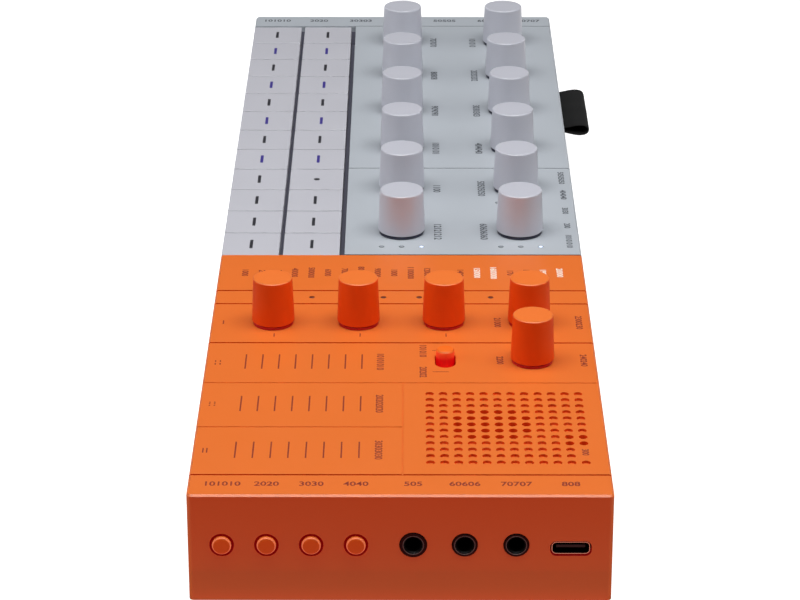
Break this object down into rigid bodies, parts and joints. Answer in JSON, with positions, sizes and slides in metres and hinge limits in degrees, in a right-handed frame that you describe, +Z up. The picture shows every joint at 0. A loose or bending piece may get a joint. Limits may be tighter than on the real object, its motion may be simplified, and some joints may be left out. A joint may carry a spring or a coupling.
{
  "type": "drum machine",
  "caption": "Slim portable groovebox with a grey and an orange section, drum keys in two rows, knobs, a slide switch, touch strips, speaker grille, end sockets and a fabric tab.",
  "frame": {"origin": "middle of the underside of the middle rubber foot, where the unit rests", "axes": "+X along the length towards the orange end with its sockets, +Y towards the back with the fabric tab, +Z up through the knobs"},
  "size_m": [0.3448, 0.1067, 0.0399],
  "materials": {
    "grey_shell": "fine satin moulding, cool grey",
    "orange_shell": "fine satin moulding, orange",
    "key_plastic": "satin, pale warm grey",
    "knob_plastic": "satin, pale grey",
    "orange_parts": "satin, orange",
    "collar_plastic": "smoked gloss",
    "black_plastic": "matt black",
    "board": "solder mask with parts",
    "battery_wrap": "shrink wrap",
    "steel": "bright steel",
    "ribbon": "tight woven ribbon",
    "rubber": "matt rubber"
  },
  "bodies": {
    "case": {"grey_upper_case": "grey_shell", "orange_upper_case": "orange_shell", "base_cover": "grey_shell", "key_frame": "black_plastic", "circuit_board": "board", "knob_encoders": "collar_plastic", "speaker": "black_plastic", "battery_pack": "battery_wrap", "jack_sockets": "black_plastic", "usb_port": "steel", "fabric_loop": "ribbon", "case_screws": "steel", "rubber_feet": "rubber"},
    "front_key_1": {"front_key_1": "key_plastic"},
    "front_key_2": {"front_key_2": "key_plastic"},
    "front_key_3": {"front_key_3": "key_plastic"},
    "front_key_4": {"front_key_4": "key_plastic"},
    "front_key_5": {"front_key_5": "key_plastic"},
    "front_key_6": {"front_key_6": "key_plastic"},
    "front_key_7": {"front_key_7": "key_plastic"},
    "front_key_8": {"front_key_8": "key_plastic"},
    "front_key_9": {"front_key_9": "key_plastic"},
    "front_key_10": {"front_key_10": "key_plastic"},
    "front_key_11": {"front_key_11": "key_plastic"},
    "front_key_12": {"front_key_12": "key_plastic"},
    "rear_key_1": {"rear_key_1": "key_plastic"},
    "rear_key_2": {"rear_key_2": "key_plastic"},
    "rear_key_3": {"rear_key_3": "key_plastic"},
    "rear_key_4": {"rear_key_4": "key_plastic"},
    "rear_key_5": {"rear_key_5": "key_plastic"},
    "rear_key_6": {"rear_key_6": "key_plastic"},
    "rear_key_7": {"rear_key_7": "key_plastic"},
    "rear_key_8": {"rear_key_8": "key_plastic"},
    "rear_key_9": {"rear_key_9": "key_plastic"},
    "rear_key_10": {"rear_key_10": "key_plastic"},
    "rear_key_11": {"rear_key_11": "key_plastic"},
    "rear_key_12": {"rear_key_12": "key_plastic"},
    "front_track_knob_1": {"front_track_knob_1": "knob_plastic"},
    "front_track_knob_2": {"front_track_knob_2": "knob_plastic"},
    "front_track_knob_3": {"front_track_knob_3": "knob_plastic"},
    "front_track_knob_4": {"front_track_knob_4": "knob_plastic"},
    "front_track_knob_5": {"front_track_knob_5": "knob_plastic"},
    "front_track_knob_6": {"front_track_knob_6": "knob_plastic"},
    "rear_track_knob_1": {"rear_track_knob_1": "knob_plastic"},
    "rear_track_knob_2": {"rear_track_knob_2": "knob_plastic"},
    "rear_track_knob_3": {"rear_track_knob_3": "knob_plastic"},
    "rear_track_knob_4": {"rear_track_knob_4": "knob_plastic"},
    "rear_track_knob_5": {"rear_track_knob_5": "knob_plastic"},
    "rear_track_knob_6": {"rear_track_knob_6": "knob_plastic"},
    "effect_knob_1": {"effect_knob_1": "orange_parts"},
    "effect_knob_2": {"effect_knob_2": "orange_parts"},
    "effect_knob_3": {"effect_knob_3": "orange_parts"},
    "effect_knob_4": {"effect_knob_4": "orange_parts"},
    "master_knob": {"master_knob": "orange_parts"},
    "slide_switch": {"slide_switch": "orange_parts"},
    "right_end_button_1": {"right_end_button_1": "orange_parts"},
    "right_end_button_2": {"right_end_button_2": "orange_parts"},
    "right_end_button_3": {"right_end_button_3": "orange_parts"},
    "right_end_button_4": {"right_end_button_4": "orange_parts"},
    "left_end_buttons": {"left_end_buttons": "key_plastic"}
  },
  "joints": [
    {"name": "front_key_press_1", "type": "slide", "parent": "case", "child": "front_key_1", "axis": [0, 0, -1], "range_m": [0, 0.0008], "stiffness_N_per_m": 300, "springref_m": -0.0015},
    {"name": "front_key_press_2", "type": "slide", "parent": "case", "child": "front_key_2", "axis": [0, 0, -1], "range_m": [0, 0.0008], "stiffness_N_per_m": 300, "springref_m": -0.0015},
    {"name": "front_key_press_3", "type": "slide", "parent": "case", "child": "front_key_3", "axis": [0, 0, -1], "range_m": [0, 0.0008], "stiffness_N_per_m": 300, "springref_m": -0.0015},
    {"name": "front_key_press_4", "type": "slide", "parent": "case", "child": "front_key_4", "axis": [0, 0, -1], "range_m": [0, 0.0008], "stiffness_N_per_m": 300, "springref_m": -0.0015},
    {"name": "front_key_press_5", "type": "slide", "parent": "case", "child": "front_key_5", "axis": [0, 0, -1], "range_m": [0, 0.0008], "stiffness_N_per_m": 300, "springref_m": -0.0015},
    {"name": "front_key_press_6", "type": "slide", "parent": "case", "child": "front_key_6", "axis": [0, 0, -1], "range_m": [0, 0.0008], "stiffness_N_per_m": 300, "springref_m": -0.0015},
    {"name": "front_key_press_7", "type": "slide", "parent": "case", "child": "front_key_7", "axis": [0, 0, -1], "range_m": [0, 0.0008], "stiffness_N_per_m": 300, "springref_m": -0.0015},
    {"name": "front_key_press_8", "type": "slide", "parent": "case", "child": "front_key_8", "axis": [0, 0, -1], "range_m": [0, 0.0008], "stiffness_N_per_m": 300, "springref_m": -0.0015},
    {"name": "front_key_press_9", "type": "slide", "parent": "case", "child": "front_key_9", "axis": [0, 0, -1], "range_m": [0, 0.0008], "stiffness_N_per_m": 300, "springref_m": -0.0015},
    {"name": "front_key_press_10", "type": "slide", "parent": "case", "child": "front_key_10", "axis": [0, 0, -1], "range_m": [0, 0.0008], "stiffness_N_per_m": 300, "springref_m": -0.0015},
    {"name": "front_key_press_11", "type": "slide", "parent": "case", "child": "front_key_11", "axis": [0, 0, -1], "range_m": [0, 0.0008], "stiffness_N_per_m": 300, "springref_m": -0.0015},
    {"name": "front_key_press_12", "type": "slide", "parent": "case", "child": "front_key_12", "axis": [0, 0, -1], "range_m": [0, 0.0008], "stiffness_N_per_m": 300, "springref_m": -0.0015},
    {"name": "rear_key_press_1", "type": "slide", "parent": "case", "child": "rear_key_1", "axis": [0, 0, -1], "range_m": [0, 0.0008], "stiffness_N_per_m": 300, "springref_m": -0.0015},
    {"name": "rear_key_press_2", "type": "slide", "parent": "case", "child": "rear_key_2", "axis": [0, 0, -1], "range_m": [0, 0.0008], "stiffness_N_per_m": 300, "springref_m": -0.0015},
    {"name": "rear_key_press_3", "type": "slide", "parent": "case", "child": "rear_key_3", "axis": [0, 0, -1], "range_m": [0, 0.0008], "stiffness_N_per_m": 300, "springref_m": -0.0015},
    {"name": "rear_key_press_4", "type": "slide", "parent": "case", "child": "rear_key_4", "axis": [0, 0, -1], "range_m": [0, 0.0008], "stiffness_N_per_m": 300, "springref_m": -0.0015},
    {"name": "rear_key_press_5", "type": "slide", "parent": "case", "child": "rear_key_5", "axis": [0, 0, -1], "range_m": [0, 0.0008], "stiffness_N_per_m": 300, "springref_m": -0.0015},
    {"name": "rear_key_press_6", "type": "slide", "parent": "case", "child": "rear_key_6", "axis": [0, 0, -1], "range_m": [0, 0.0008], "stiffness_N_per_m": 300, "springref_m": -0.0015},
    {"name": "rear_key_press_7", "type": "slide", "parent": "case", "child": "rear_key_7", "axis": [0, 0, -1], "range_m": [0, 0.0008], "stiffness_N_per_m": 300, "springref_m": -0.0015},
    {"name": "rear_key_press_8", "type": "slide", "parent": "case", "child": "rear_key_8", "axis": [0, 0, -1], "range_m": [0, 0.0008], "stiffness_N_per_m": 300, "springref_m": -0.0015},
    {"name": "rear_key_press_9", "type": "slide", "parent": "case", "child": "rear_key_9", "axis": [0, 0, -1], "range_m": [0, 0.0008], "stiffness_N_per_m": 300, "springref_m": -0.0015},
    {"name": "rear_key_press_10", "type": "slide", "parent": "case", "child": "rear_key_10", "axis": [0, 0, -1], "range_m": [0, 0.0008], "stiffness_N_per_m": 300, "springref_m": -0.0015},
    {"name": "rear_key_press_11", "type": "slide", "parent": "case", "child": "rear_key_11", "axis": [0, 0, -1], "range_m": [0, 0.0008], "stiffness_N_per_m": 300, "springref_m": -0.0015},
    {"name": "rear_key_press_12", "type": "slide", "parent": "case", "child": "rear_key_12", "axis": [0, 0, -1], "range_m": [0, 0.0008], "stiffness_N_per_m": 300, "springref_m": -0.0015},
    {"name": "front_track_knob_1_turn", "type": "hinge", "parent": "case", "child": "front_track_knob_1", "pos_m": [-0.1447, 0, 0.0274], "axis": [0, 0, 1], "continuous": true},
    {"name": "front_track_knob_2_turn", "type": "hinge", "parent": "case", "child": "front_track_knob_2", "pos_m": [-0.1127, 0, 0.0274], "axis": [0, 0, 1], "continuous": true},
    {"name": "front_track_knob_3_turn", "type": "hinge", "parent": "case", "child": "front_track_knob_3", "pos_m": [-0.0807, 0, 0.0274], "axis": [0, 0, 1], "continuous": true},
    {"name": "front_track_knob_4_turn", "type": "hinge", "parent": "case", "child": "front_track_knob_4", "pos_m": [-0.0487, 0, 0.0274], "axis": [0, 0, 1], "continuous": true},
    {"name": "front_track_knob_5_turn", "type": "hinge", "parent": "case", "child": "front_track_knob_5", "pos_m": [-0.0167, 0, 0.0274], "axis": [0, 0, 1], "continuous": true},
    {"name": "front_track_knob_6_turn", "type": "hinge", "parent": "case", "child": "front_track_knob_6", "pos_m": [0.0153, 0, 0.0274], "axis": [0, 0, 1], "continuous": true},
    {"name": "rear_track_knob_1_turn", "type": "hinge", "parent": "case", "child": "rear_track_knob_1", "pos_m": [-0.1447, 0.0323, 0.0274], "axis": [0, 0, 1], "continuous": true},
    {"name": "rear_track_knob_2_turn", "type": "hinge", "parent": "case", "child": "rear_track_knob_2", "pos_m": [-0.1127, 0.0323, 0.0274], "axis": [0, 0, 1], "continuous": true},
    {"name": "rear_track_knob_3_turn", "type": "hinge", "parent": "case", "child": "rear_track_knob_3", "pos_m": [-0.0807, 0.0323, 0.0274], "axis": [0, 0, 1], "continuous": true},
    {"name": "rear_track_knob_4_turn", "type": "hinge", "parent": "case", "child": "rear_track_knob_4", "pos_m": [-0.0487, 0.0323, 0.0274], "axis": [0, 0, 1], "continuous": true},
    {"name": "rear_track_knob_5_turn", "type": "hinge", "parent": "case", "child": "rear_track_knob_5", "pos_m": [-0.0167, 0.0323, 0.0274], "axis": [0, 0, 1], "continuous": true},
    {"name": "rear_track_knob_6_turn", "type": "hinge", "parent": "case", "child": "rear_track_knob_6", "pos_m": [0.0153, 0.0323, 0.0274], "axis": [0, 0, 1], "continuous": true},
    {"name": "effect_knob_1_turn", "type": "hinge", "parent": "case", "child": "effect_knob_1", "pos_m": [0.0761, -0.03263, 0.0274], "axis": [0, 0, 1], "continuous": true},
    {"name": "effect_knob_2_turn", "type": "hinge", "parent": "case", "child": "effect_knob_2", "pos_m": [0.0761, -0.01087, 0.0274], "axis": [0, 0, 1], "continuous": true},
    {"name": "effect_knob_3_turn", "type": "hinge", "parent": "case", "child": "effect_knob_3", "pos_m": [0.0761, 0.01087, 0.0274], "axis": [0, 0, 1], "continuous": true},
    {"name": "effect_knob_4_turn", "type": "hinge", "parent": "case", "child": "effect_knob_4", "pos_m": [0.0761, 0.03263, 0.0274], "axis": [0, 0, 1], "continuous": true},
    {"name": "master_knob_turn", "type": "hinge", "parent": "case", "child": "master_knob", "pos_m": [0.0991, 0.0326, 0.0274], "axis": [0, 0, 1], "continuous": true},
    {"name": "slide_switch_slide", "type": "slide", "parent": "case", "child": "slide_switch", "axis": [1, 0, 0], "range_m": [0, 0.0035]},
    {"name": "right_end_button_press_1", "type": "slide", "parent": "case", "child": "right_end_button_1", "axis": [-1, 0, 0], "range_m": [0, 0.0007], "stiffness_N_per_m": 300, "springref_m": -0.0015},
    {"name": "right_end_button_press_2", "type": "slide", "parent": "case", "child": "right_end_button_2", "axis": [-1, 0, 0], "range_m": [0, 0.0007], "stiffness_N_per_m": 300, "springref_m": -0.0015},
    {"name": "right_end_button_press_3", "type": "slide", "parent": "case", "child": "right_end_button_3", "axis": [-1, 0, 0], "range_m": [0, 0.0007], "stiffness_N_per_m": 300, "springref_m": -0.0015},
    {"name": "right_end_button_press_4", "type": "slide", "parent": "case", "child": "right_end_button_4", "axis": [-1, 0, 0], "range_m": [0, 0.0007], "stiffness_N_per_m": 300, "springref_m": -0.0015},
    {"name": "left_end_buttons_press", "type": "slide", "parent": "case", "child": "left_end_buttons", "axis": [1, 0, 0], "range_m": [0, 0.0007], "stiffness_N_per_m": 600, "springref_m": -0.0015}
  ]
}
